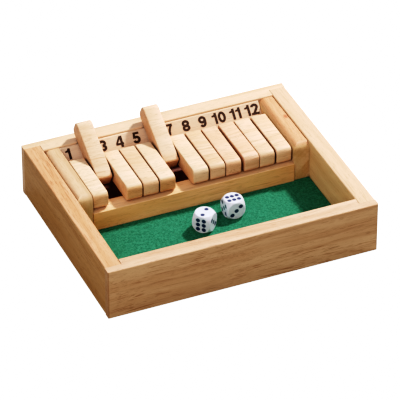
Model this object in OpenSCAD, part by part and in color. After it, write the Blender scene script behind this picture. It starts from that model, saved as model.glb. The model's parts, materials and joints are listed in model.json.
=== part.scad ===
// Shut the box, twelve tiles: a shallow hardwood tray with a felt floor,
// a rack of twelve flip-over tiles on one axle, a number strip and two dice.
// Millimetres, +Z up. The origin is under the middle of the box, on the table.
// X runs along the front, Y runs to the back.

/* [Box] */
// Width of the box, left to right
box_width = 206.6; // [190:0.2:260]
// Depth of the box, front to back
box_depth = 168; // [142:1:220]
// Height of the box
box_height = 40.4; // [38:0.2:50]
// Thickness of the four boards
board_thickness = 12.6; // [9:0.2:15]
// How much of the front and back boards' thickness laps over the side boards' ends
corner_lap = 6; // [3:0.5:8]
// Radius of the sanded edges
edge_round = 1; // [0.4:0.1:1.6]

/* [Floor] */
// Thickness of the hardboard base panel
base_thickness = 3; // [2:0.5:4]
// Height of the base panel's underside above the table
base_rise = 5.4; // [2:0.2:6]
// How deep the base panel sits in the boards' grooves
groove_depth = 4; // [2:0.5:6]
// Play of the base panel in its grooves, all round
panel_play = 0.1; // [0.05:0.05:0.3]
// Thickness of the felt
felt_thickness = 1.2; // [0.8:0.1:2]

/* [Rack] */
// Thickness of the two end blocks
block_thickness = 12.2; // [10:0.1:15]
// Length of the end blocks, from the back board forwards
block_length = 65.6; // [62:0.2:75]
// How far the end blocks' tops lie below the rim
block_drop = 1; // [0.5:0.5:3]
// Radius of the end blocks' top edges on the left and in front
block_round = 5.5; // [2:0.5:6]
// Depth of the front rail, front to back
rail_depth = 13; // [10:0.5:15]
// How far the rail stands in front of the end blocks
rail_proud = 1; // [0:0.25:2]
// Height of the rail above the felt
rail_height = 14.8; // [12:0.1:18]
// Depth of the number strip, front to back
strip_depth = 10.6; // [8:0.2:12]
// Width of the number strip's sloping face, measured up the slope
strip_face = 13; // [11:0.5:14]
// Slope of the number strip's face
strip_slope = 45; // [35:1:55]
// How far the number strip's top lies below the rim
strip_drop = 1.5; // [1:0.25:4]
// Play at each end of the rail and the number strip
bar_play = 0.05; // [0.02:0.01:0.2]

/* [Axle] */
// Diameter of the axle
axle_diameter = 3; // [2:0.5:4]
// Distance from the axle to the back board
axle_from_back = 26; // [24:0.1:30]
// Radial play of the tiles on the axle
axle_play = 0.08; // [0.03:0.01:0.1]
// Radial play of the axle in the end blocks
axle_seat_play = 0.02; // [0.01:0.01:0.05]
// How deep the axle goes into each end block
axle_seat_depth = 9; // [6:0.5:9]

/* [Tiles] */
// Number of tiles
tile_count = 12; // [9:1:12]
// Mean gap between neighbouring tiles
tile_gap = 1; // [0.8:0.05:1.6]
// Thickness of a tile
tile_thickness = 13; // [10:0.5:14]
// How far the tiles' noses lie behind the rail's front
nose_setback = 3.2; // [1:0.1:6]
// From the axle to a tile's tail
tile_tail_reach = 11; // [9:0.1:12]
// Height of the axle above a tile's middle
tile_hole_rise = 0.9; // [0:0.1:1.5]
// Radius of the nose's two edges
nose_round = 4; // [2:0.5:5]
// Radius of the tail's two edges
tail_round = 1.6; // [1:0.1:4]
// Smallest gap between a flipped tile and the back board's edge
flip_gap = 0.2; // [0.1:0.05:0.5]

/* [Numerals] */
// Height of a numeral, measured up the slope
numeral_height = 8.4; // [7:0.1:8.6]
// Stroke width of a numeral
numeral_stroke = 1.9; // [1:0.1:2]
// Width of a numeral
numeral_width = 6; // [4.8:0.1:6.2]
// Space between the two numerals of a pair
numeral_space = 0.8; // [0.6:0.1:1.4]
// How far the row of numbers is shifted to the right
numeral_shift = -0.6; // [-1:0.1:1]
// Thickness of the printed ink
ink_thickness = 0.15; // [0.1:0.05:0.3]

/* [Dice] */
// Edge length of a die
die_size = 14; // [13:0.5:16]
// Diameter of the ball that rounds a die's corners
die_ball = 19.4; // [19:0.1:22]
// Diameter of a pip
pip_diameter = 3.4; // [2.2:0.1:3.5]
// Depth of a pip
pip_depth = 0.5; // [0.4:0.05:0.8]
// How far the paint in a pip lies below the die's face
paint_sunk = 0.05; // [0.05:0.05:0.2]

/* [Hidden] */
$fn = 48;

// Colours
wood = [0.90, 0.76, 0.56];
pale_wood = [0.94, 0.84, 0.68];
dark_board = [0.30, 0.14, 0.09];
green_felt = [0.10, 0.48, 0.32];
steel = [0.72, 0.73, 0.75];
ink = [0.08, 0.05, 0.04];
ivory = [0.95, 0.95, 0.96];
navy = [0.10, 0.13, 0.36];

// Which tiles are flipped over
flipped_tiles = [2, 6];
// How far each tile has slid along the axle, as a share of the mean gap
tile_slide = [0, 0.1, 0.3, 0, -0.1, 0, -0.2, -0.1, -0.3, 0.4, -0.1, 0.2];
// Where each die lies: across from the middle, and in front of the rail
die_left_place = [-4.6, 27.7];
die_right_place = [21, 19.9];
// How far each die is turned
die_left_turn = -45;
die_right_turn = -1;

// Inside of the box
inner_x = box_width / 2 - board_thickness;
inner_y = box_depth / 2 - board_thickness;
base_top = base_rise + base_thickness;
felt_top = base_top + felt_thickness;

// Rack
block_top = box_height - block_drop;
block_inner_x = inner_x - block_thickness;
block_front_y = inner_y - block_length;
rail_front_y = block_front_y - rail_proud;
rail_top = felt_top + rail_height;
strip_top = box_height - strip_drop;

// Tiles: they fill the width between the end blocks
tile_pitch = (2 * block_inner_x - tile_gap) / tile_count;
tile_width = tile_pitch - tile_gap;
axle_y = inner_y - axle_from_back;
axle_z = rail_top + tile_thickness / 2 + tile_hole_rise;
tile_nose_reach = axle_y - rail_front_y - nose_setback;

// A flipped tile leans on the back board's rounded inner edge. This is its
// slope: the line at a given distance from the axle that passes the edge.
lean_run = axle_from_back + edge_round;
lean_rise = box_height - edge_round - axle_z;
lean_offset = tile_thickness / 2 - tile_hole_rise + edge_round + flip_gap;
flip_slope = atan2(lean_rise, lean_run) + asin(lean_offset / norm([lean_run, lean_rise]));
flip_angle = 180 - flip_slope;

// Small overlap that lets a cut pass cleanly through a face
cut = 1;

function is_flipped(n) = len([for (f = flipped_tiles) if (f == n) f]) > 0;
function tile_x(n) = -block_inner_x + tile_gap * (1 + tile_slide[n - 1]) + (n - 1) * tile_pitch;

// ---------------------------------------------------------------- helpers

// Square from corner to corner
module span2(low, high) {
    translate(low) square(high - low);
}

// Cuboid from corner to corner
module span(low, high) {
    translate(low) cube(high - low);
}

// Draws an outline given as (Y, Z) and extrudes it along X, from x0 to x1
module along_x(x0, x1) {
    translate([x0, 0, 0]) rotate([90, 0, 90]) linear_extrude(x1 - x0) children();
}

// Draws an outline given as (X, Z) and extrudes it along Y, from y0 to y1
module along_y(y0, y1) {
    translate([0, y1, 0]) rotate([90, 0, 0]) linear_extrude(y1 - y0) children();
}

// A rectangle from corner to corner whose corners are rounded
module rounded(low, high, r) {
    span2(low + [r, 0], high - [r, 0]);
    span2(low + [0, r], high - [0, r]);
    for (x = [low[0] + r, high[0] - r], y = [low[1] + r, high[1] - r])
        translate([x, y]) circle(r);
}

// A rectangle from corner to corner whose upper corners are rounded
module round_topped(low, high, r) {
    span2(low, high - [0, r]);
    span2(low + [r, 0], high - [r, 0]);
    for (x = [low[0] + r, high[0] - r])
        translate([x, high[1] - r]) circle(r);
}

// The same with a radius of its own on each side
module round_topped_unlike(low, high, left, right) {
    span2([low[0] + left, low[1]], [high[0] - right, high[1]]);
    span2(low, [low[0] + left + right, high[1] - left]);
    span2([high[0] - right - left, low[1]], [high[0], high[1] - right]);
    translate([low[0] + left, high[1] - left]) circle(left);
    translate([high[0] - right, high[1] - right]) circle(right);
}

// ------------------------------------------------------------------ boards

// Front board as it lies at the front: full width, lapped over the side
// boards' ends and grooved for the base panel
module end_board() {
    outer = box_width / 2;
    difference() {
        intersection() {
            along_x(-outer, outer)
                rounded([-box_depth / 2, 0], [-inner_y, box_height], edge_round);
            linear_extrude(box_height)
                rounded([-outer, -box_depth / 2], [outer, -inner_y + 2 * edge_round], edge_round);
        }
        for (side = [-1, 1])
            scale([side, 1, 1])
                span([inner_x, -box_depth / 2 + corner_lap, -cut],
                     [outer + cut, -inner_y + cut, box_height + cut]);
        span([-inner_x - cut, -inner_y - groove_depth, base_rise],
             [inner_x + cut, -inner_y + cut, base_top]);
    }
}

// Left board: it runs between the laps of the front and back boards
module side_board() {
    end = box_depth / 2 - corner_lap;
    difference() {
        along_y(-end, end)
            rounded([-box_width / 2, 0], [-inner_x, box_height], edge_round);
        span([-inner_x - groove_depth, -inner_y - groove_depth, base_rise],
             [-inner_x + cut, inner_y + groove_depth, base_top]);
    }
}

module front_board() { color(wood) end_board(); }

module back_board() { color(wood) rotate([0, 0, 180]) end_board(); }

module left_board() { color(wood) side_board(); }

module right_board() { color(wood) rotate([0, 0, 180]) side_board(); }

// ------------------------------------------------------------------- floor

module base_panel() {
    reach = groove_depth - panel_play;
    color(dark_board)
        span([-inner_x - reach, -inner_y - reach, base_rise],
             [inner_x + reach, inner_y + reach, base_top]);
}

// Felt on the open part of the tray, cut round the front rail
module felt() {
    color(green_felt)
    difference() {
        span([-inner_x, -inner_y, base_top], [inner_x, block_front_y, felt_top]);
        span([-block_inner_x, rail_front_y, base_top - cut],
             [block_inner_x, block_front_y + cut, felt_top + cut]);
    }
}

// -------------------------------------------------------------------- rack

// Left end block: a bar with three rounded top edges and a blind hole. The blocks are the same bar,
// with its wider rounding on the left, so the right one is this one mirrored with its radii swapped.
module end_block(board_round, tile_round) {
    color(pale_wood)
    difference() {
        intersection() {
            along_y(block_front_y, inner_y)
                round_topped_unlike([-inner_x, base_top], [-block_inner_x, block_top],
                                    board_round, tile_round);
            along_x(-inner_x - cut, -block_inner_x + cut)
                round_topped([block_front_y, base_top - cut],
                             [inner_y + block_round, block_top], block_round);
        }
        translate([-block_inner_x - axle_seat_depth - axle_play, axle_y, axle_z])
            rotate([0, 90, 0])
                cylinder(r = axle_diameter / 2 + axle_seat_play, h = block_thickness);
    }
}

module left_block() { end_block(block_round, edge_round); }

module right_block() { mirror([1, 0, 0]) end_block(edge_round, block_round); }

// Bar across the front of the rack that carries the tiles' noses
module front_rail() {
    reach = block_inner_x - bar_play;
    color(wood)
        along_x(-reach, reach)
            round_topped([rail_front_y, base_top],
                         [rail_front_y + rail_depth, rail_top], edge_round / 2);
}

// Bar against the back board, with a sloping face for the numbers
strip_run = strip_face * cos(strip_slope);
strip_fall = strip_face * sin(strip_slope);
strip_ledge = strip_depth - strip_run;

module number_strip() {
    reach = block_inner_x - bar_play;
    front = inner_y - strip_depth;
    color(pale_wood)
        along_x(-reach, reach)
            polygon([[inner_y, base_top], [inner_y, strip_top], [inner_y - strip_ledge, strip_top],
                     [front, strip_top - strip_fall], [front, base_top]]);
}

module axle() {
    length = 2 * (block_inner_x + axle_seat_depth);
    color(steel)
        translate([-length / 2, axle_y, axle_z])
            rotate([0, 90, 0])
                cylinder(d = axle_diameter, h = length);
}

// ---------------------------------------------------------------- numerals

// Points of an arc about a centre, from one angle to another
function arc(centre, rx, ry, from, to, steps = 20) =
    [for (i = [0 : steps])
        let (a = from + (to - from) * i / steps)
        centre + [rx * cos(a), ry * sin(a)]];

// Direction of a path at one of its points
function heading(path, i) =
    let (d = path[min(i + 1, len(path) - 1)] - path[max(i - 1, 0)])
    d / norm(d);

// One side of a stroke of even width along a path
function stroke_side(path, offset) =
    [for (i = [0 : len(path) - 1])
        let (h = heading(path, i))
        path[i] + offset * [-h[1], h[0]]];

module stroke(path) {
    left = stroke_side(path, numeral_stroke / 2);
    right = stroke_side(path, -numeral_stroke / 2);
    last = len(path) - 1;
    polygon(concat(left, [for (i = [0 : last]) right[last - i]]));
}

// A closed oval stroke
module ring(centre, rx, ry) {
    half = numeral_stroke / 2;
    difference() {
        polygon(arc(centre, rx + half, ry + half, 0, 351, 39));
        polygon(arc(centre, rx - half, ry - half, 0, 351, 39));
    }
}

// A numeral stands on the X axis with its left edge at x = 0
module digit(d) {
    w = numeral_width;
    h = numeral_height;
    s = numeral_stroke;
    cx = w / 2;
    rx = (w - s) / 2;
    tall = (h - s) / 2;
    low = 0.29 * h;
    lower = low - s / 2;
    high = h - s / 2 - 0.25 * (h - s);
    upper = h - s / 2 - high;
    if (d == 0) ring([cx, h / 2], rx, tall);
    if (d == 1) {
        span2([0.42 * w, 0], [0.42 * w + s, h]);
        polygon([[0.42 * w + s / 2, h], [0.42 * w + s / 4, 0.92 * h], [0.34 * w, 0.84 * h],
                 [0.08 * w, 0.79 * h], [0.08 * w, 0.66 * h], [0.42 * w + s / 2, 0.66 * h]]);
    }
    if (d == 2) {
        stroke(concat(arc([cx, high], rx, upper, 170, -35), [[s, s / 2]]));
        span2([0, 0], [w, s * 0.9]);
    }
    if (d == 3) {
        stroke(arc([cx, high], rx, upper, 165, -90));
        stroke(arc([cx, low], rx, lower, 90, -165));
    }
    if (d == 4) {
        bar = 0.21 * h;
        bar_top = bar + 0.85 * s;
        slope = (h - bar_top) / (0.54 * w);
        hole = 0.3 * w;
        span2([0.6 * w, 0], [0.6 * w + s, h]);
        span2([0, bar], [w, bar_top]);
        difference() {
            polygon([[0, bar], [0, bar_top], [0.54 * w, h], [0.6 * w + s / 2, h], [0.6 * w + s / 2, bar]]);
            polygon([[hole, bar_top], [0.6 * w, bar_top], [0.6 * w, bar_top + (0.6 * w - hole) * slope]]);
        }
    }
    if (d == 5) {
        stroke(arc([cx, low + 0.05 * h], rx, lower + 0.05 * h, 138, -165));
        polygon([[0.09 * w, 0.44 * h], [0.20 * w, h], [0.17 * w + s, h], [0.09 * w + s, 0.48 * h]]);
        span2([0.20 * w, h - 0.85 * s], [0.94 * w, h]);
    }
    if (d == 6) six();
    if (d == 7) {
        bar = h - 0.85 * s;
        polygon(concat([[0.04 * w, bar], [0.04 * w, h], [0.96 * w, h]],
                       arc([1.35 * w, 0], 0.93 * w - s / 2, 0.92 * h, 180 - asin(bar / (0.92 * h)), 180),
                       arc([1.35 * w, 0], 0.93 * w + s / 2, 1.1 * h, 180, 180 - asin(bar / (1.1 * h)))));
    }
    if (d == 8) {
        ring([cx, high], rx * 0.92, upper);
        ring([cx, low], rx, lower);
    }
    if (d == 9) translate([w, h]) rotate(180) six();
}

module six() {
    w = numeral_width;
    h = numeral_height;
    s = numeral_stroke;
    rx = (w - s) / 2;
    low = 0.33 * h;
    ring([w / 2, low], rx, low - s / 2);
    stroke(concat(arc([w / 2, h * 0.56], rx, h * 0.44 - s / 2, 38, 180), [[s / 2, low]]));
}

// A number's digits, in order
function digits(n) = n < 10 ? [n] : [floor(n / 10), n % 10];

// Where a digit's ink starts and ends: a 1 is narrower than the others
function ink_start(d) = d == 1 ? 0.08 * numeral_width : 0;
function ink_end(d) = d == 1 ? 0.42 * numeral_width + numeral_stroke : numeral_width;

// A single digit is centred on the origin by its width, a pair by its ink
module number(n) {
    ds = digits(n);
    pair = len(ds) > 1;
    step = ink_end(ds[0]) - ink_start(ds[0]) + numeral_space;
    total = pair ? step + ink_end(ds[1]) - ink_start(ds[1]) : numeral_width;
    for (i = [0 : len(ds) - 1])
        translate([-total / 2 + i * step - (pair ? ink_start(ds[i]) : 0), -numeral_height / 2])
            union() digit(ds[i]);
}

// The numbers lie on the strip's sloping face, one behind each tile
module numerals() {
    middle = [inner_y - strip_ledge - strip_run / 2, strip_top - strip_fall / 2];
    rise = 1.5;
    pitch = 1.01 * tile_pitch;
    up = [cos(strip_slope), sin(strip_slope)] * rise;
    color(ink)
        for (n = [1 : tile_count])
            translate([numeral_shift + (n - (tile_count + 1) / 2) * pitch,
                       middle[0] + up[0], middle[1] + up[1]])
                rotate([strip_slope, 0, 0])
                    linear_extrude(ink_thickness) number(n);
}

// ------------------------------------------------------------------- tiles

// Side view of a tile that lies flat, with the axle at the origin and the
// nose towards -Y: a bar whose nose is well rounded and whose tail is eased
module tile_outline() {
    middle = -tile_hole_rise;
    half = tile_thickness / 2;
    nose = -tile_nose_reach;
    tail = tile_tail_reach;
    span2([nose + nose_round, middle - half], [tail - tail_round, middle + half]);
    span2([nose, middle - half + nose_round], [nose + nose_round, middle + half - nose_round]);
    span2([tail - tail_round, middle - half + tail_round], [tail, middle + half - tail_round]);
    for (side = [-1, 1]) {
        translate([nose + nose_round, middle + side * (half - nose_round)]) circle(nose_round);
        translate([tail - tail_round, middle + side * (half - tail_round)]) circle(tail_round);
    }
}

module tile(n) {
    color(n % 2 == 0 ? wood : pale_wood)
        translate([tile_x(n), axle_y, axle_z])
            rotate([is_flipped(n) ? -flip_angle : 0, 0, 0])
                difference() {
                    along_x(0, tile_width) tile_outline();
                    translate([-cut, 0, 0]) rotate([0, 90, 0])
                        cylinder(r = axle_diameter / 2 + axle_play, h = tile_width + 2 * cut);
                }
}

// -------------------------------------------------------------------- dice

// Pip places on a face, in shares of the die's edge
near = 0.16;
wide = 0.265;
diag = 0.23;
function pips(value) =
    value == 1 ? [[0, 0]] :
    value == 2 ? [[0, wide], [0, -wide]] :
    value == 3 ? [[-diag, diag], [0, 0], [diag, -diag]] :
    value == 4 ? [[-diag, diag], [diag, diag], [-diag, -diag], [diag, -diag]] :
    value == 5 ? [[-diag, diag], [diag, diag], [0, 0], [-diag, -diag], [diag, -diag]] :
    [for (x = [-near, near], y = [-wide, 0, wide]) [x, y]];

// Radius of the ball that cuts a pip of the given diameter and depth
pip_ball = (pow(pip_diameter / 2, 2) + pow(pip_depth, 2)) / (2 * pip_depth);

// Turns that bring each side of a die up: top, front, right, back, left, bottom
face_turns = [[0, 0, 0], [90, 0, 0], [90, 0, 90], [90, 0, 180], [90, 0, 270], [180, 0, 0]];

// Places a child at every pip, with +Z out of the face. values names the
// pips on the top, front, right, back, left and bottom, and spins turns each.
module at_pips(values, spins) {
    for (i = [0 : 5], p = pips(values[i]))
        rotate(face_turns[i]) rotate(spins[i])
            translate([p[0] * die_size, p[1] * die_size, die_size / 2])
                children();
}

module die_body(values, spins) {
    difference() {
        intersection() {
            cube(die_size, center = true);
            sphere(d = die_ball, $fn = 64);
        }
        at_pips(values, spins) translate([0, 0, pip_ball - pip_depth]) sphere(pip_ball, $fn = 96);
    }
}

// Paint that fills the bottom of every pip
module die_paint(values, spins) {
    at_pips(values, spins)
        intersection() {
            translate([0, 0, pip_ball - pip_depth]) sphere(pip_ball, $fn = 96);
            translate([0, 0, -1 - paint_sunk]) cylinder(r = pip_ball, h = 1);
        }
}

module on_felt(place, turn) {
    translate([place[0], rail_front_y - place[1], felt_top + die_size / 2])
        rotate([0, 0, turn]) children();
}

// Opposite sides add up to seven
left_values = [2, 6, 3, 1, 4, 5];
left_spins = [0, 0, 0, 0, 0, 0];
right_values = [6, 3, 2, 4, 5, 1];
right_spins = [90, 90, 0, 0, 0, 0];

module die_left() { color(ivory) on_felt(die_left_place, die_left_turn) die_body(left_values, left_spins); }

module die_left_pips() { color(navy) on_felt(die_left_place, die_left_turn) die_paint(left_values, left_spins); }

module die_right() { color(ivory) on_felt(die_right_place, die_right_turn) die_body(right_values, right_spins); }

module die_right_pips() { color(navy) on_felt(die_right_place, die_right_turn) die_paint(right_values, right_spins); }

// ---------------------------------------------------------------- assembly

front_board();
back_board();
left_board();
right_board();
base_panel();
felt();
left_block();
right_block();
front_rail();
number_strip();
numerals();
axle();
tile(1);  // tile_1
tile(2);  // tile_2
tile(3);  // tile_3
tile(4);  // tile_4
tile(5);  // tile_5
tile(6);  // tile_6
tile(7);  // tile_7
tile(8);  // tile_8
tile(9);  // tile_9
tile(10);  // tile_10
tile(11);  // tile_11
tile(12);  // tile_12
die_left();
die_left_pips();
die_right();
die_right_pips();
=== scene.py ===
# %% [markdown]
# # A shut the box game
# The frame is the imported model of the game: boards, rack, tiles, rod and dice, each a mesh of its
# own in metres. It is loaded first, because every new piece takes its place and size from it.

# %% Load the frame
import json
from math import cos, radians, sin

import bmesh
import bpy
from mathutils import Euler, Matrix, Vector


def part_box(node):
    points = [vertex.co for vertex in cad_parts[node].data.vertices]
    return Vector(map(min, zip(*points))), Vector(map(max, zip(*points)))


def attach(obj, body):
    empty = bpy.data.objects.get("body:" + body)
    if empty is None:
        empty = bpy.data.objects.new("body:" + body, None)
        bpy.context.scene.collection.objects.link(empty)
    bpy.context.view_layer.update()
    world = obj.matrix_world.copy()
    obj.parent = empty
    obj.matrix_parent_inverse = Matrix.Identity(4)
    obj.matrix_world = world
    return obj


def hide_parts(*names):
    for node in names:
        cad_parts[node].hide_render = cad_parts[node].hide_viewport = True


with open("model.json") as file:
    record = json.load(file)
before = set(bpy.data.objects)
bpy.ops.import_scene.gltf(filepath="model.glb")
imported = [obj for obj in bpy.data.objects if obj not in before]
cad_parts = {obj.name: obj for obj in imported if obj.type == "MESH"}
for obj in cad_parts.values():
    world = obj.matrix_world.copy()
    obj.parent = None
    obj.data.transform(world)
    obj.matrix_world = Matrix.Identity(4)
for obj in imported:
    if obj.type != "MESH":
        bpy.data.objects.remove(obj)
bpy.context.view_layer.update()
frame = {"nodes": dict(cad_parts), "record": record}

NODES = frame["nodes"]
MM = 1000  # millimetres in a metre
bpy.ops.object.select_all(action="DESELECT")

# %% [markdown]
# ## Camera
# A long lens from the front left, a good way above the box, keeps the boards' edges nearly
# parallel. The camera could be dragged about by hand, but a turn about the box, a rise and a
# distance say its place exactly, and its back, which points away from the box, then gives its turn.

# %% Camera
DISTANCE, FOCUS_PIXELS, PICTURE_PIXELS = 2.6522, 3649.4, 400
SENSOR_MM, FAR = 36, 20  # nothing farther off than 20 metres is seen
turn, rise = radians(-23.222), radians(35.677)
aim = Vector((0.01042, 0.0202, 0.0014))
back = Vector((sin(turn) * cos(rise), -cos(turn) * cos(rise), sin(rise)))

bpy.ops.object.camera_add(location=aim + back * DISTANCE)
camera = bpy.context.object
camera.name = "studio_camera"
camera.rotation_euler = back.to_track_quat("Z", "Y").to_euler()
camera.data.sensor_width = SENSOR_MM
camera.data.lens = FOCUS_PIXELS * SENSOR_MM / PICTURE_PIXELS
camera.data.clip_end = FAR
bpy.context.scene.camera = camera
print("camera at", tuple(round(v, 3) for v in camera.location))

# %% [markdown]
# ## Studio
# A small lamp high on the right gives the shadows their clear edges and lights every top. Soft
# light from all round fills the sides that face away from it, and a large dim panel at the front
# left lifts the near faces a little. Three lights that can be set one by one are easier to balance
# than a single picture of a studio wrapped round the scene.

# %% Lights
KEY_SPOT, KEY_FARTHER = Vector((0.61, 0.25, 0.73)), 1.6


def soft_panel(name, place, target, size, power, colour):
    """A round lamp that is turned towards its target."""
    bpy.ops.object.light_add(type="AREA", location=place)
    panel = bpy.context.object
    panel.name = name
    panel.rotation_euler = (Vector(place) - Vector(target)).to_track_quat("Z", "Y").to_euler()
    panel.data.shape = "DISK"
    panel.data.size = size
    panel.data.energy = power
    panel.data.color = colour
    print(name, "at", tuple(round(v, 2) for v in place), "power", power)


soft_panel("key_lamp", place=KEY_SPOT * KEY_FARTHER, target=(0, 0, 0),
           size=0.16, power=25.5, colour=(1, 0.99, 0.98))
soft_panel("front_panel", place=(-0.62, -0.64, 0.62), target=(0, 0, 0.02),
           size=0.6, power=2.5, colour=(1, 1, 1))

# %% [markdown]
# ## Nodes
# The air and every finish below are trees of nodes, each of which does one small sum on a colour,
# a number or a place. They could be wired by hand in the shader editor. Here `fill` gives a node's
# inputs their values or links, and `add` makes a node, so that a tree reads as a short list.

# %% Node helpers
def fill(tree, node, inputs):
    """Gives each input its value, or links it if the value is another node's output."""
    for key, value in inputs.items():
        if hasattr(value, "is_output"):
            tree.links.new(value, node.inputs[key])
        else:
            node.inputs[key].default_value = value


def add(tree, kind, inputs=None, **settings):
    """A new node with its settings and its inputs."""
    node = tree.nodes.new("ShaderNode" + kind)
    for key, value in settings.items():
        setattr(node, key, value)
    fill(tree, node, inputs or {})
    return node


def camera_sees(tree, seen, otherwise):
    """A shader that shows `seen` to the camera, and `otherwise` to all other rays of light."""
    to_camera = add(tree, "LightPath").outputs["Is Camera Ray"]
    return add(tree, "MixShader", {0: to_camera, 1: otherwise, 2: seen}).outputs[0]


def new_material(name):
    """A new material, its tree and its main shader."""
    material = bpy.data.materials.new(name)
    material.use_nodes = True
    return material, material.node_tree, material.node_tree.nodes["Principled BSDF"]

# %% [markdown]
# The air around the scene shines softly and evenly, a little cooler than the lamp, and the camera
# sees it as plain white. The floor is a sheet of paper. It throws a little light back up, and to
# the camera alone it also glows, so that it looks white and shadows on it stay faint.

# %% Air and floor
world = bpy.data.worlds.new("studio_air")
bpy.context.scene.world = world
world.use_nodes = True
air = world.node_tree
dome = air.nodes["Background"]
fill(air, dome, {"Color": (0.97, 1, 1.03, 1), "Strength": 0.42})
white = add(air, "Background", {"Color": (1, 1, 1, 1), "Strength": 1.5})
fill(air, air.nodes["World Output"],
     {"Surface": camera_sees(air, white.outputs[0], otherwise=dome.outputs[0])})

FLOOR_SIZE, FLOOR_DROP = 12, 0.0002
bpy.ops.mesh.primitive_plane_add(size=FLOOR_SIZE, location=(0, 0, -FLOOR_DROP))
floor = bpy.context.object
floor.name = "studio_floor"

paper, t, sheet = new_material("studio_paper")
fill(t, sheet, {"Base Color": (0.28, 0.28, 0.28, 1), "Roughness": 0.9, "Specular IOR Level": 0.1})
glow = add(t, "Emission", {"Strength": 1.2})
both = add(t, "AddShader", {0: sheet.outputs[0], 1: glow.outputs[0]})
fill(t, t.nodes["Material Output"],
     {"Surface": camera_sees(t, both.outputs[0], otherwise=sheet.outputs[0])})
floor.data.materials.append(paper)
print("dome strength", dome.inputs["Strength"].default_value)

# %% [markdown]
# ## Tone
# Film and printed pictures don't show light in proportion: dim tones sink, and bright ones level
# off before they reach white. A curve on the scene's view does the same. Up to its knee it follows
# a smooth formula, and from there a straight line up to white, so shaded sides come out deep and
# warm while the tops keep their colour. The curves of the single colours come first, and they stay
# straight well past white, so that they don't cut it short.

# %% Tone curve
KNEE, KNEE_TONE, SLOPE_PAST_KNEE = 0.85, 0.843, 0.523
# The formula would level off at the first, and the second sets how far dim tones sink.
HIGHEST_TONE, DEPTH_OF_SHADES = 1.08, 0.203


def developed(light):
    """How bright the view shows an amount of light."""
    if light < KNEE:
        return HIGHEST_TONE * light ** 2 / (light ** 2 + DEPTH_OF_SHADES)
    return min(1.0, KNEE_TONE + SLOPE_PAST_KNEE * (light - KNEE))


LIGHTS = (0.04, 0.08, 0.12, 0.18, 0.25, 0.33, 0.42, 0.52, 0.64, 0.76, 0.88, 1.0)
WHITE_LIGHT, STRAIGHT_TO = 1.15, 2
view = bpy.context.scene.view_settings
view.view_transform = "Standard"
view.use_curve_mapping = True
curves = view.curve_mapping
curves.clip_max_x = curves.clip_max_y = STRAIGHT_TO
curves.extend = "HORIZONTAL"
red, green, blue, tone = curves.curves
for straight in (red, green, blue):
    straight.points[1].location = (STRAIGHT_TO, STRAIGHT_TO)
tone.points[1].location = (WHITE_LIGHT, 1)
for light in LIGHTS:
    tone.points.new(light, developed(light))
curves.update()
print("tone", [(light, round(developed(light), 3)) for light in LIGHTS])

# %% [markdown]
# ## Helpers for modelling
# An operator acts on everything that is selected. So `only` selects one piece and nothing else,
# and `edit` opens it in edit mode with just the wanted faces or edges selected. They are picked by
# a test on their place or normal, which stays true when the mesh changes, unlike their numbers.

# %% Modelling helpers
SAME_PLACE = 1e-5  # points less than this far apart, in metres, count as one place


def only(piece):
    bpy.ops.object.select_all(action="DESELECT")
    bpy.context.view_layer.objects.active = piece
    piece.select_set(True)


def edit(piece, kind, wanted):
    """Opens the piece in edit mode with the wanted "FACE" or "EDGE" parts selected."""
    only(piece)
    bpy.ops.object.mode_set(mode="EDIT")
    bpy.ops.mesh.select_mode(type=kind)
    bpy.ops.mesh.select_all(action="DESELECT")
    cage = bmesh.from_edit_mesh(piece.data)
    parts = cage.faces if kind == "FACE" else cage.edges
    chosen = [part for part in parts if wanted(part)]
    for part in chosen:
        part.select_set(True)
    cage.select_flush_mode()
    bmesh.update_edit_mesh(piece.data)
    return len(chosen)


def leave_edit():
    bpy.ops.object.mode_set(mode="OBJECT")


def remove(piece):
    only(piece)
    bpy.ops.object.delete()


def settle(piece):
    """Moves the object's place, turn and scale into its mesh."""
    only(piece)
    bpy.ops.object.transform_apply(location=True, rotation=True, scale=True)


def duplicate(piece, name):
    """A copy with a mesh of its own."""
    twin = piece.copy()
    twin.data = piece.data.copy()
    twin.name = twin.data.name = name
    bpy.context.collection.objects.link(twin)
    return twin


def off(piece, node):
    """How far the piece's box is from the node's, in millimetres, at worst."""
    box_low, box_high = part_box(node)
    corners = [piece.matrix_world @ vertex.co for vertex in piece.data.vertices]
    gaps = [abs(min(c[i] for c in corners) - box_low[i]) for i in range(3)]
    gaps += [abs(max(c[i] for c in corners) - box_high[i]) for i in range(3)]
    return round(max(gaps) * MM, 3)

# %% [markdown]
# ## A tile
# A tile is a short bar with a hole near one end, where the rod carries it. Its nose, which a
# finger lifts, is well rounded, its tail is only eased, and all the long edges are sanded. It
# could be an outline extruded and cut, but a cuboid with three bevels of different widths is how
# the real one is machined, and each bevel can be changed alone. It starts as the plain blank.

# %% Tile blank
tile_low, tile_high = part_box("tile_1")
bpy.ops.mesh.primitive_cube_add(size=1, location=(tile_low + tile_high) / 2)
tile = bpy.context.object
tile.name = "tile"
tile.scale = tile_high - tile_low
settle(tile)
print("tile blank", tuple(round(v * MM, 2) for v in tile_high - tile_low), "mm")

# %% [markdown]
# The edges across the nose and across the tail are bevelled first. The outlines of the left and
# right faces then run round those curves, and they are sanded last, all at one width.

# %% Tile edges
NOSE_ROUND, TAIL_ROUND, SANDED = 0.004, 0.0016, 0.0009
LONG = 0.01  # an edge longer than this in X runs from side to side


def crosswise(edge, y):
    """True for an edge that runs along X at the given place."""
    a, b = (vertex.co for vertex in edge.verts)
    return abs(a.x - b.x) > LONG and abs(a.y - y) < SAME_PLACE and abs(b.y - y) < SAME_PLACE


def on_side(edge):
    """True for an edge of the left or the right face's outline."""
    a, b = (vertex.co for vertex in edge.verts)
    return (abs(a.x - b.x) < SAME_PLACE
            and min(abs(a.x - tile_low.x), abs(a.x - tile_high.x)) < SAME_PLACE)


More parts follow.
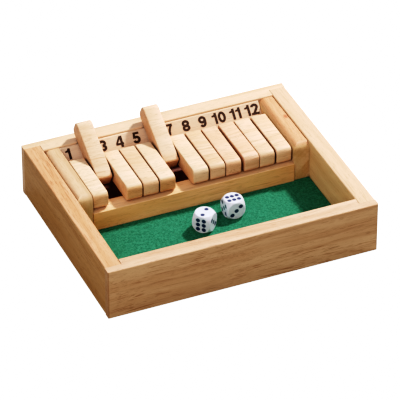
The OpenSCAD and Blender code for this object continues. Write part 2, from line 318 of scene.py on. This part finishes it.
for label, wanted, width, segments in (
        ("nose", lambda edge: crosswise(edge, tile_low.y), NOSE_ROUND, 8),
        ("tail", lambda edge: crosswise(edge, tile_high.y), TAIL_ROUND, 4),
        ("outline", on_side, SANDED, 3)):
    print(label, "edges", edit(tile, "EDGE", wanted))
    bpy.ops.mesh.bevel(offset=width, segments=segments)
    leave_edit()

# %% [markdown]
# The hole is cut when the bevels are done, so that they don't run into it. A long round drill is
# placed on the hinge's axis and taken away from the tile, and then it is deleted.

# %% Tile hole
BORE_RADIUS, BORE_SIDES, DRILL_LENGTH = 0.00158, 40, 0.02
SHARP_TILE = radians(32)  # edges that turn more than this stay sharp
hinge = next(Vector(row["pos_m"]) for row in frame["record"]["behaviour"]["joints"]
             if row["child"] == "tile_1_body")
hole_centre = ((tile_low.x + tile_high.x) / 2, hinge.y, hinge.z)

bpy.ops.object.select_all(action="DESELECT")
bpy.ops.mesh.primitive_cylinder_add(vertices=BORE_SIDES, radius=BORE_RADIUS, depth=DRILL_LENGTH,
                                    rotation=(0, radians(90), 0), location=hole_centre)
drill = bpy.context.object
settle(drill)
only(tile)
hole = tile.modifiers.new("hole", "BOOLEAN")
hole.object = drill
hole.solver = "EXACT"
bpy.ops.object.modifier_apply(modifier="hole")
remove(drill)
only(tile)
bpy.ops.object.shade_smooth_by_angle(angle=SHARP_TILE)
print("tile faces", len(tile.data.polygons), "off by", off(tile, "tile_1"), "mm")

# %% [markdown]
# ## The rack of tiles
# The twelve tiles are the same piece, so it is modelled once and copied. Each copy is moved along
# the rod by the gap between its node's box and the first one's. Two of them have been flipped
# over, and lean on the back board. Where two tiles sit a little askew on the rod, the slack of
# their holes allows it, and the gap between them opens towards the noses. With no window, the
# rotate operator turns the other way, so the angles are given with that in mind.

# %% Twelve tiles
FLIPPED = {2, 6}
FLIP = radians(150.25)
ASKEW = {9: radians(0.45), 10: radians(-0.45)}
tiles = {}
for number in range(1, 13):
    node = "tile_%d" % number
    piece = duplicate(tile, node + "_bar")
    only(piece)
    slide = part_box(node)[0].x - tile_low.x
    if number in FLIPPED:
        bpy.ops.transform.rotate(value=FLIP, orient_axis="X", center_override=hinge)
    if number in ASKEW:
        bpy.ops.transform.rotate(value=ASKEW[number], orient_axis="Z", center_override=hole_centre)
    bpy.ops.transform.translate(value=(slide, 0, 0))
    settle(piece)
    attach(piece, node + "_body")
    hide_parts(node)
    tiles[number] = piece
    print(piece.name, "off by", off(piece, node), "mm")
remove(tile)

# %% [markdown]
# ## The felt
# The tray's floor is covered with wool felt, laid in loose and cut round the rail. It could be one
# flat outline, but felt is never quite flat, so it is a grid, which has points all over it that
# can be moved. The squares where the rail stands are deleted.

# %% Felt sheet
CELL = 0.001
low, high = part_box("felt")
rail_low, rail_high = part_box("front_rail")
bpy.ops.object.select_all(action="DESELECT")
bpy.ops.mesh.primitive_grid_add(size=1, x_subdivisions=round((high.x - low.x) / CELL),
                                y_subdivisions=round((high.y - low.y) / CELL),
                                location=((low.x + high.x) / 2, (low.y + high.y) / 2, high.z))
felt = bpy.context.object
felt.name = felt.data.name = "felt_sheet"
felt.scale = (high.x - low.x, high.y - low.y, 1)
settle(felt)


def under_rail(face):
    centre = face.calc_center_median()
    return centre.y > rail_low.y and rail_low.x < centre.x < rail_high.x


print("squares cut away", edit(felt, "FACE", under_rail))
bpy.ops.mesh.delete(type="FACE")
leave_edit()

# %% [markdown]
# The sheet is given its thickness downwards, its upper rim is softened, and the upper points are
# moved up and down a little at random. The same seed gives the same felt each time.

# %% Felt thickness
RIM_ROUND, UNEVEN, FELT_SEED = 0.0003, 0.00009, 7
CORNER = 0.5  # two normals whose product is less than this meet at a corner
SHARP_FELT = radians(50)
only(felt)
thickness = felt.modifiers.new("thickness", "SOLIDIFY")
thickness.thickness = high.z - low.z
thickness.offset = -1
bpy.ops.object.modifier_apply(modifier="thickness")


def rim(edge):
    """True for an edge between the top and a side."""
    return (all(abs(vertex.co.z - high.z) < SAME_PLACE for vertex in edge.verts)
            and len(edge.link_faces) == 2
            and abs(edge.link_faces[0].normal.dot(edge.link_faces[1].normal)) < CORNER)


def on_top(face):
    return face.calc_center_median().z > high.z - SAME_PLACE


print("rim edges", edit(felt, "EDGE", rim))
bpy.ops.mesh.bevel(offset=RIM_ROUND, segments=2)
leave_edit()
print("upper faces", edit(felt, "FACE", on_top))
bpy.ops.transform.vertex_random(offset=UNEVEN, normal=1, uniform=0, seed=FELT_SEED)
leave_edit()
only(felt)
bpy.ops.object.shade_smooth_by_angle(angle=SHARP_FELT)
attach(felt, "box")
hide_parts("felt")
print("felt faces", len(felt.data.polygons), "off by", off(felt, "felt"), "mm")

# %% [markdown]
# ## Helpers for materials
# A finish is built from a few kinds of sum again and again: a noise for what is irregular, a ramp
# that turns it into a mask, and a blend of two colours by that mask. A noise rarely reaches 0 or
# 1, so a ramp over its middle values uses nearly all of it.

# %% Material helpers
MIDDLE = (0.3, 0.7)


def maths(tree, operation, *values):
    return add(tree, "Math", dict(enumerate(values)), operation=operation).outputs[0]


def times(tree, a, b):
    return maths(tree, "MULTIPLY", a, b)


def vectors(tree, operation, *values):
    """A sum with vectors, some of which give a plain number."""
    result = "Value" if operation in ("DISTANCE", "LENGTH") else "Vector"
    node = add(tree, "VectorMath", dict(enumerate(values)), operation=operation)
    return node.outputs[result]


def stretched(tree, vector, scale):
    """The vector multiplied by one scale, or by one for each axis."""
    each = scale if hasattr(scale, "__len__") else (scale, scale, scale)
    return vectors(tree, "MULTIPLY", vector, each)


def noise(tree, vector, scale, detail=2.0, roughness=0.5):
    """A noise, 0 to 1, whose grains are 1/scale long."""
    cloud = add(tree, "TexNoise", {"Vector": stretched(tree, vector, scale), "Scale": 1.0,
                                   "Detail": detail, "Roughness": roughness})
    return cloud.outputs["Fac"]


def ramp(tree, value, start, end, to_start=0.0, to_end=1.0):
    """Maps start..end smoothly to to_start..to_end."""
    return add(tree, "MapRange", {"Value": value, "From Min": start, "From Max": end,
                                  "To Min": to_start, "To Max": to_end},
               interpolation_type="SMOOTHSTEP").outputs[0]


def blend_colour(tree, mask, a, b, mode="MIX"):
    """Colour a where the mask is 0, and b laid over it where the mask is 1."""
    return add(tree, "Mix", {0: mask, 6: a, 7: b}, data_type="RGBA", blend_type=mode).outputs[2]


def tinted(tree, mask, colour, tint):
    """The colour, multiplied by the tint where the mask is 1."""
    return blend_colour(tree, mask, colour,
                        blend_colour(tree, 1.0, colour, (*tint, 1), "MULTIPLY"))


def new_group(name, inputs, outputs):
    """A node group with its sockets, its tree's first node and its last."""
    group = bpy.data.node_groups.new(name, "ShaderNodeTree")
    for label, kind, value in inputs:
        socket = group.interface.new_socket(name=label, in_out="INPUT",
                                            socket_type="NodeSocket" + kind)
        if value is not None:
            socket.default_value = value
    for label, kind in outputs:
        group.interface.new_socket(name=label, in_out="OUTPUT", socket_type="NodeSocket" + kind)
    return group, group.nodes.new("NodeGroupInput"), group.nodes.new("NodeGroupOutput")

# %% [markdown]
# ## Rubberwood
# The boards, the rack and the tiles are rubberwood, a pale tan wood with a satin lacquer. Its
# marks are all long along the grain: broad bands of colour, thin darker streaks, and open pores
# that look like short pencil dashes. Across the grain the same marks show as dots and arcs. A
# texture that fills the whole block of wood gives both from one recipe, so the recipe is a node
# group that works on a vector in millimetres whose X runs along the grain. The grain wanders a
# little, so no mark is quite straight, and every mark reads that bent vector.

# %% Rubberwood group
WANDER_MM = 9
wood_group, wood_in, wood_out = new_group(
    "rubberwood_figure",
    [("Vector", "Vector", None), ("Pale", "Color", (0.7, 0.45, 0.22, 1)),
     ("Tan", "Color", (0.6, 0.36, 0.16, 1)), ("Streak", "Color", (0.36, 0.17, 0.06, 1)),
     ("Streaks", "Float", 0.5), ("Pores", "Float", 0.5), ("Rings", "Float", 0.2),
     ("Ring width", "Float", 5.0), ("End grain", "Float", 0.0), ("Arris", "Float", 0.0),
     ("Grime and shade", "Float", 1.0)],
    [("Color", "Color"), ("Roughness", "Float"), ("Height", "Float")])
g, given = wood_group, wood_in.outputs
wander = add(g, "TexNoise", {"Vector": stretched(g, given["Vector"], (0.011, 0.03, 0.03)),
                             "Scale": 1.0, "Detail": 1.0})
centred = vectors(g, "SUBTRACT", wander.outputs["Color"], (0.5, 0.5, 0.5))
shift = stretched(g, centred, (0, WANDER_MM, WANDER_MM))
grain = vectors(g, "ADD", given["Vector"], shift)


def marks(along, across, detail, roughness=0.5):
    """A noise drawn out along the grain, with so many marks to a millimetre each way."""
    return noise(g, grain, (along, across, across), detail, roughness)


print("rubberwood group takes", [socket.name for socket in given if socket.name])

# %% [markdown]
# The broad bands of colour come from one coarse noise. Growth rings are a wave in the distance
# from the tree's pith, which lies outside the board. They fade in and out along it, so they are
# masked by a noise too.

# %% Bands and rings
PITH, FULL_TURN = (0, -34, -41), 6.2832
bands = ramp(g, marks(along=0.006, across=0.09, detail=2), 0.35, 0.65)
body = blend_colour(g, bands, given["Pale"], given["Tan"])

from_pith = vectors(g, "DISTANCE", stretched(g, grain, (0, 1, 1)), PITH)
turns = maths(g, "DIVIDE", from_pith, given["Ring width"])
late_wood = ramp(g, maths(g, "SINE", times(g, turns, FULL_TURN)), 0.0, 1.0)
fade = ramp(g, marks(along=0.02, across=0.12, detail=1), 0.35, 0.6)
ring_mask = times(g, times(g, late_wood, fade), given["Rings"])
body = blend_colour(g, ring_mask, body, given["Streak"])
print("bands and rings:", len(g.nodes), "nodes")

# %% [markdown]
# Streaks come in two widths, gathered in herds. Pores are short dashes along the grain and dots
# across it, crowded in some places and rare in others, and darker than the streaks.

# %% Streaks and pores
DARKEST, DEPTH_OF_PORES = (0.10, 0.03, 0.008, 1), 0.35
wide = ramp(g, marks(along=0.016, across=0.42, detail=3, roughness=0.6), 0.54, 0.72)
thin = ramp(g, marks(along=0.034, across=1.15, detail=2, roughness=0.6), 0.56, 0.66)
herd = ramp(g, marks(along=0.009, across=0.05, detail=1), 0.38, 0.62, 0.4, 1)
streak = times(g, maths(g, "MAXIMUM", times(g, wide, 0.5), thin),
               times(g, herd, given["Streaks"]))
body = blend_colour(g, streak, body, given["Streak"])

dash = ramp(g, marks(along=0.14, across=3.4, detail=1, roughness=0.4), 0.60, 0.70)
crowd = ramp(g, marks(along=0.02, across=0.5, detail=1), 0.38, 0.60, 0.25, 1)
pore = times(g, dash, crowd)
pore_colour = times(g, pore, given["Pores"])
deep = blend_colour(g, DEPTH_OF_PORES, given["Streak"], DARKEST)
body = blend_colour(g, pore_colour, body, deep)
print("streaks and pores:", len(g.nodes), "nodes")

# %% [markdown]
# Fine fibres change the brightness a little, and the blue most, so dark fibres look warm. End
# grain drinks the lacquer and darkens, and so does an arris, the eased upright corner of a board.

# %% Fibres and end grain
fibre = marks(along=0.07, across=6, detail=2, roughness=0.6)
warmth = add(g, "CombineColor", {"Red": ramp(g, fibre, *MIDDLE, 0.95, 1.04),
                                 "Green": ramp(g, fibre, *MIDDLE, 0.94, 1.04),
                                 "Blue": ramp(g, fibre, *MIDDLE, 0.91, 1.04)}).outputs[0]
body = blend_colour(g, 1.0, body, warmth, "MULTIPLY")
body = blend_colour(g, times(g, given["End grain"], 0.3), body, given["Streak"])
body = blend_colour(g, times(g, given["Arris"], 0.7), body, deep)
print("fibres and end grain:", len(g.nodes), "nodes")

# %% [markdown]
# In a seam, where another surface is a few millimetres away, the colour is darkened. Part of this
# is the glue and stain of the joints, and part is painted shade, which also dims the light that
# bounces about in the narrow gaps between tiles. A line could be painted along each joint, but the
# node that measures how shut in a point is finds all the joints by itself, also between tiles. The
# pores are duller and deeper than the wood.

# %% Seam grime and shade, and surface
SEAM_REACH, SEAM_SAMPLES, GRIME_AND_SHADE_TINT = 0.0034, 8, (0.30, 0.33, 0.40)
near = add(g, "AmbientOcclusion", {"Distance": SEAM_REACH}, samples=SEAM_SAMPLES)
# Painted shade, with some grime: the colour darkens where another surface is within reach.
grime_and_shade_mask = times(g, ramp(g, near.outputs["AO"], 0.15, 0.8, 1, 0), given["Grime and shade"])
rough = maths(g, "ADD", ramp(g, fibre, *MIDDLE, 0.42, 0.52), times(g, pore, 0.2))
relief = maths(g, "SUBTRACT", times(g, fibre, 0.25), pore)
fill(g, wood_out, {"Color": tinted(g, grime_and_shade_mask, body, GRIME_AND_SHADE_TINT), "Roughness": rough, "Height": relief})
print("rubberwood group has", len(g.nodes), "nodes")

# %% [markdown]
# Each board is another piece of the tree. So each gets its own material: the same group, with the
# grain turned along the board, the pattern moved to another place, and its own three colours. One
# tint goes on the faces that look up and another on those that look forwards. This is painted light
# and shade, which makes the tops and the fronts lighter or darker than the rest of the board. The
# arrises have a strength of their own, and so has the darkening in the seams, which is partly grime
# and partly painted shade.

# %% Wood material
QUARTER_TURN = {"X": 0, "Y": -radians(90)}
# How squarely a face looks along an axis, from where an effect starts to where it ends. A corner
# looks along X and Y at once.
END_GRAIN, ARRIS, UPWARD, FORWARD = (0.6, 0.95), (0.15, 0.55), (0.45, 0.9), (-0.95, -0.3)
SIDEWAYS = 0.95


def wood(name, axis, place, pale, tan, streak, streaks, pores, rings, ring_width, tilt,
         top_light_tint=(1, 1, 1), nose=(1, 1, 1), arris=0, grime_and_shade=0.35, side_grime_and_shade=1, steep=0.7):
    """The wood of one board, with its grain along the axis, tilted a little. The darkening in the
    seams, partly grime and partly painted shade, has one strength, and another on the faces that
    look sideways more than `steep`. The tints on the faces that look up and forwards are painted
    light and shade."""
    material, tree, surface = new_material(name)
    where = add(tree, "TexCoord")
    turned = Euler((0, 0, QUARTER_TURN[axis] + tilt))
    mapping = add(tree, "Mapping", {"Vector": where.outputs["Object"], "Scale": (MM, MM, MM),
                                    "Location": place, "Rotation": turned})
    normal = add(tree, "SeparateXYZ", {0: where.outputs["Normal"]}).outputs
    facing = {side: maths(tree, "ABSOLUTE", normal[side]) for side in "XY"}
    corner = maths(tree, "MINIMUM", facing["X"], facing["Y"])
    figure = add(tree, "Group", {
        "Vector": mapping.outputs[0], "Pale": (*pale, 1), "Tan": (*tan, 1), "Streak": (*streak, 1),
        "Streaks": streaks, "Pores": pores, "Rings": rings, "Ring width": ring_width,
        "End grain": ramp(tree, facing[axis], *END_GRAIN),
        "Arris": ramp(tree, corner, *ARRIS, 0, arris),
        "Grime and shade": ramp(tree, facing["X"], steep, SIDEWAYS, grime_and_shade, side_grime_and_shade)}, node_tree=wood_group)
    # Painted light and shade: one tint on the faces that look up, and another on those that look
    # forwards.
    colour = tinted(tree, ramp(tree, normal["Z"], *UPWARD), figure.outputs["Color"], top_light_tint)
    colour = tinted(tree, ramp(tree, normal["Y"], *FORWARD, 1, 0), colour, nose)
    bump = add(tree, "Bump", {"Height": figure.outputs["Height"], "Distance": 0.0002,
                              "Strength": 0.3})
    fill(tree, surface, {"Base Color": colour, "Roughness": figure.outputs["Roughness"],
                         "Normal": bump.outputs[0], "Specular IOR Level": 0.3,
                         "Coat Weight": 0.12, "Coat Roughness": 0.4})
    return material


def paint(piece, material):
    """Gives a frame node, or a piece made here, its material."""
    painted = NODES[piece] if isinstance(piece, str) else piece
    painted.data.materials.clear()
    painted.data.materials.append(material)
    print(painted.name, "is finished with", material.name)

# %% [markdown]
# The eight wooden parts of the box come from eight boards. Their settings are kept in one table,
# so that two boards can be compared at a glance, and one loop makes and gives out the materials.

# %% Boards
BOARDS = {
    "front_board": dict(
        axis="X", place=(13, 4, 9), pale=(0.72, 0.46, 0.26), tan=(0.63, 0.375, 0.20),
        streak=(0.38, 0.17, 0.07), streaks=0.8, pores=0.62, rings=0.18, ring_width=7, tilt=0.02,
        top_light_tint=(1.10, 1.14, 1.45), arris=0.8),
    "back_board": dict(
        axis="X", place=(310, 71, -14), pale=(0.84, 0.56, 0.37), tan=(0.75, 0.47, 0.285),
        streak=(0.56, 0.33, 0.18), streaks=0.45, pores=0.40, rings=0.12, ring_width=6, tilt=-0.01,
        top_light_tint=(0.98, 1.02, 1.09), arris=0.8, grime_and_shade=1),
    "left_board": dict(
        axis="Y", place=(-120, 33, 52), pale=(0.64, 0.375, 0.17), tan=(0.57, 0.31, 0.125),
        streak=(0.38, 0.16, 0.055), streaks=0.65, pores=0.75, rings=0.20, ring_width=5, tilt=0.01,
        top_light_tint=(1.13, 1.10, 1.50)),
    "right_board": dict(
        axis="Y", place=(77, -61, 23), pale=(0.85, 0.565, 0.325), tan=(0.77, 0.485, 0.26),
        streak=(0.58, 0.31, 0.14), streaks=0.45, pores=0.40, rings=0.15, ring_width=6, tilt=0.0,
        top_light_tint=(0.90, 0.90, 1.08)),
    "left_block": dict(
        axis="Y", place=(21, 90, -44), pale=(0.88, 0.63, 0.41), tan=(0.73, 0.50, 0.30),
        streak=(0.48, 0.29, 0.13), streaks=0.50, pores=0.40, rings=0.15, ring_width=4.5, tilt=0.03,
        top_light_tint=(0.90, 0.84, 0.88)),
    "right_block": dict(
        axis="Y", place=(-15, 90, -26), pale=(0.92, 0.65, 0.40), tan=(0.74, 0.48, 0.26),
        streak=(0.55, 0.29, 0.13), streaks=0.55, pores=0.60, rings=0.20, ring_width=3.2, tilt=0.05,
        top_light_tint=(0.78, 0.60, 0.59), side_grime_and_shade=0.5),
    "front_rail": dict(
        axis="X", place=(55, -23, 31), pale=(0.95, 0.56, 0.30), tan=(0.87, 0.48, 0.23),
        streak=(0.52, 0.25, 0.10), streaks=0.55, pores=0.45, rings=0.15, ring_width=6, tilt=0.02,
        top_light_tint=(0.91, 1.02, 1.22)),
    "number_strip": dict(
        axis="X", place=(-71, 18, -9), pale=(0.87, 0.63, 0.47), tan=(0.81, 0.56, 0.40),
        streak=(0.64, 0.39, 0.25), streaks=0.45, pores=0.40, rings=0.10, ring_width=6, tilt=-0.02,
        side_grime_and_shade=0.2),
}
for node, settings in BOARDS.items():
    paint(node, wood(node + "_wood", **settings))

# %% [markdown]
# The right block has a small reddish knot in its top. A knot is one spot and no pattern, so it is a
# mask made from the distance to its centre, which is blended over the colour that is already there.

# %% Knot
def add_knot(material, centre, half_sizes, colour):
    """Lays an oval spot, whose rim is soft, over a material's colour."""
    tree = material.node_tree
    surface = tree.nodes["Principled BSDF"]
    wood_colour = surface.inputs["Base Color"].links[0].from_socket
    away = vectors(tree, "SUBTRACT", add(tree, "TexCoord").outputs["Object"], centre)
    reach = vectors(tree, "LENGTH", stretched(tree, away, [1 / half for half in half_sizes]))
    knot = ramp(tree, reach, 0.15, 1, 1, 0)
    fill(tree, surface, {"Base Color": blend_colour(tree, knot, wood_colour, (*colour, 1))})
    print("knot in", material.name, "at", centre)


add_knot(NODES["right_block"].data.materials[0], centre=(0.0886, 0.0435, 0.0394),
         half_sizes=(0.0023, 0.0040, 0.003), colour=(0.50, 0.17, 0.09))

# %% [markdown]
# The tiles were cut from many boards, so their tones differ. Four tones are enough, and each tile
# takes one. The grain runs across a tile, and the pattern is moved and tilted from tile to tile.
# The sides are painted a little darker and warmer than the tops, and a few noses are tinted lighter
# or darker, which is painted shade and light.

# %% Tile wood
TONES = {"pale": (0.90, 0.67, 0.49), "cream": (0.86, 0.60, 0.43), "honey": (0.84, 0.55, 0.39),
         "tan": (0.82, 0.56, 0.39)}
TILE_TONES = ["pale", "cream", "pale", "tan", "pale", "cream",
              "pale", "tan", "honey", "honey", "cream", "cream"]
# SIDE_SHADE is painted shade: it darkens and warms the whole tile, and the top tint, TOP_LIFT over
# it, takes it off the faces that look up.
SIDE_SHADE, TAN_SHADE, STREAK_SHADE = (0.98, 0.92, 0.84), (0.92, 0.86, 0.80), (0.64, 0.46, 0.34)
TOP_LIFT = 1.02
# Painted shade and light on some noses: darker on tiles 1, 3, 5 and 9, and lighter on tile 12.
NOSE_SHADES = {1: (0.9, 0.82, 0.76), 3: (0.92, 0.80, 0.68), 5: (0.80, 0.66, 0.52),
               9: (0.96, 0.9, 0.84), 12: (1.12, 1.16, 1.2)}
PATTERN_STEP_MM, TILT_STEP = (37, 23, -17), 0.06


def shaded(tone, shares):
    return tuple(a * b for a, b in zip(tone, shares))


def tile_wood(number):
    """The wood of one tile. Its rings' width and its tilt go round in threes and fives."""
    pale = shaded(TONES[TILE_TONES[number - 1]], SIDE_SHADE)
    return wood("tile_%d_wood" % number, axis="X",
                place=[step * number for step in PATTERN_STEP_MM], pale=pale,
                tan=shaded(pale, TAN_SHADE), streak=shaded(pale, STREAK_SHADE),
                streaks=0.55, pores=0.7, rings=0.15, ring_width=4 + number % 3,
                tilt=TILT_STEP * (number % 5 - 1.5), top_light_tint=[TOP_LIFT / share for share in SIDE_SHADE],
                nose=NOSE_SHADES.get(number, (1, 1, 1)), steep=0.1)


for number, piece in tiles.items():
    paint(piece, tile_wood(number))

# %% [markdown]
# ## Felt
# Wool felt is a mat of curled fibres. Up close it is a dense mottle of dark hollows and paler fibre
# ends, with no weave. It could be grown from hairs, but they would be slow, and too fine to see.
# Two noises of different grain, one for the clumps and one for the fibres, give the mottle, and
# the same two raise the surface. A little sheen gives the pale bloom that fibres have.

# %% Felt finish
def plain(name):
    """A new material, its tree, its main shader, and the place on the piece in millimetres."""
    material, tree, surface = new_material(name)
    return material, tree, surface, stretched(tree, add(tree, "TexCoord").outputs["Object"], MM)


green_felt, t, cloth, mm = plain("green_felt")
clump = noise(t, mm, 0.6, detail=4, roughness=0.7)
fibres = noise(t, mm, 2.2, detail=3, roughness=0.7)
worn = noise(t, mm, 0.05)
green = blend_colour(t, ramp(t, clump, 0.38, 0.62), (0.019, 0.14, 0.080, 1),
                     (0.052, 0.25, 0.155, 1))
green = blend_colour(t, ramp(t, fibres, 0.45, 0.72, 0, 0.6), green, (0.11, 0.36, 0.25, 1))
green = blend_colour(t, ramp(t, worn, *MIDDLE, 0, 0.2), green, (0.035, 0.18, 0.11, 1))
nap = add(t, "Bump", {"Height": maths(t, "ADD", clump, fibres), "Distance": 0.0006,
                      "Strength": 0.8})
fill(t, cloth, {"Base Color": green, "Roughness": 0.95, "Specular IOR Level": 0.1,
                "Sheen Weight": 0.1, "Sheen Roughness": 0.5, "Normal": nap.outputs[0]})
paint(felt, green_felt)

# %% [markdown]
# ## Hardboard
# The panel under the tiles is dark hardboard, pressed from fine brown fibres. It is smooth, with
# small flecks and broad cloudy changes. One noise for each of the two needs no picture, and has no
# edge where a picture would start again.

# %% Hardboard
hardboard, t, panel_face, mm = plain("dark_hardboard")
flecks = noise(t, mm, 1.6, detail=4, roughness=0.65)
cloudy = noise(t, mm, 0.06)
brown = blend_colour(t, ramp(t, flecks, *MIDDLE), (0.17, 0.076, 0.06, 1), (0.26, 0.12, 0.094, 1))
brown = blend_colour(t, ramp(t, cloudy, *MIDDLE, 0, 0.4), brown, (0.30, 0.14, 0.11, 1))
grit = add(t, "Bump", {"Height": flecks, "Distance": 0.0001, "Strength": 0.3})
fill(t, panel_face, {"Base Color": brown, "Roughness": ramp(t, flecks, *MIDDLE, 0.35, 0.55),
                     "Normal": grit.outputs[0]})
paint("base_panel", hardboard)

# %% [markdown]
# ## Ink
# The numerals are printed in a brown ink that is nearly black, and it lies a little unevenly on
# the wood. One noise changes its colour, and its gloss with it, because thin places are duller.

# %% Ink
ink, t, print_face, mm = plain("black_ink")
patchy = noise(t, mm, 2.2, detail=3, roughness=0.6)
brown_black = blend_colour(t, ramp(t, patchy, 0.35, 0.7), (0.040, 0.016, 0.006, 1),
                           (0.075, 0.032, 0.014, 1))
fill(t, print_face, {"Base Color": brown_black, "Roughness": ramp(t, patchy, *MIDDLE, 0.45, 0.65)})
paint("numerals", ink)

# %% [markdown]
# ## Steel
# The rod is drawn steel, and has fine lines along it from the hole that it was pulled through. A
# noise that is stretched along X gives the lines. It drives the roughness as well, since the lines
# are what blurs a reflection on drawn metal.

# %% Steel
steel, t, metal, mm = plain("drawn_steel")
lines = noise(t, mm, (0.2, 9, 9), roughness=0.6)
grey = blend_colour(t, lines, (0.48, 0.48, 0.49, 1), (0.66, 0.66, 0.67, 1))
fill(t, metal, {"Base Color": grey, "Metallic": 1.0,
                "Roughness": ramp(t, lines, *MIDDLE, 0.25, 0.42)})
paint("axle", steel)

# %% [markdown]
# ## Dice
# The dice are white plastic, polished after their corners were rounded. Light goes a little way
# into it, so a part of the shader's light is scattered under the surface, which softens the
# shades. Fine scuffs change the gloss. The pips hold dark blue paint that dried a little uneven,
# with a clear gloss on it. The frame's own meshes are used, because their corners and hollows are
# already right.

# %% Dice
plastic, t, die_face, mm = plain("white_die_plastic")
milky = noise(t, mm, 0.3)
scuff = noise(t, mm, 5, detail=3, roughness=0.65)
off_white = blend_colour(t, ramp(t, milky, *MIDDLE), (0.75, 0.765, 0.88, 1), (0.79, 0.80, 0.92, 1))
fill(t, die_face, {"Base Color": off_white, "Roughness": ramp(t, scuff, 0.4, 0.7, 0.14, 0.26),
                   "Subsurface Weight": 0.25, "Subsurface Radius": (1, 1, 1),
                   "Subsurface Scale": 0.002})

pip_paint, t, pip_face, mm = plain("navy_pip_paint")
pool = noise(t, mm, 1.5)
navy = blend_colour(t, ramp(t, pool, *MIDDLE), (0.020, 0.030, 0.10, 1), (0.034, 0.046, 0.15, 1))
fill(t, pip_face, {"Base Color": navy, "Roughness": ramp(t, pool, *MIDDLE, 0.28, 0.42),
                   "Coat Weight": 1.0, "Coat Roughness": 0.22})
for die in ("die_left", "die_right"):
    paint(die, plastic)
    paint(die + "_pips", pip_paint)
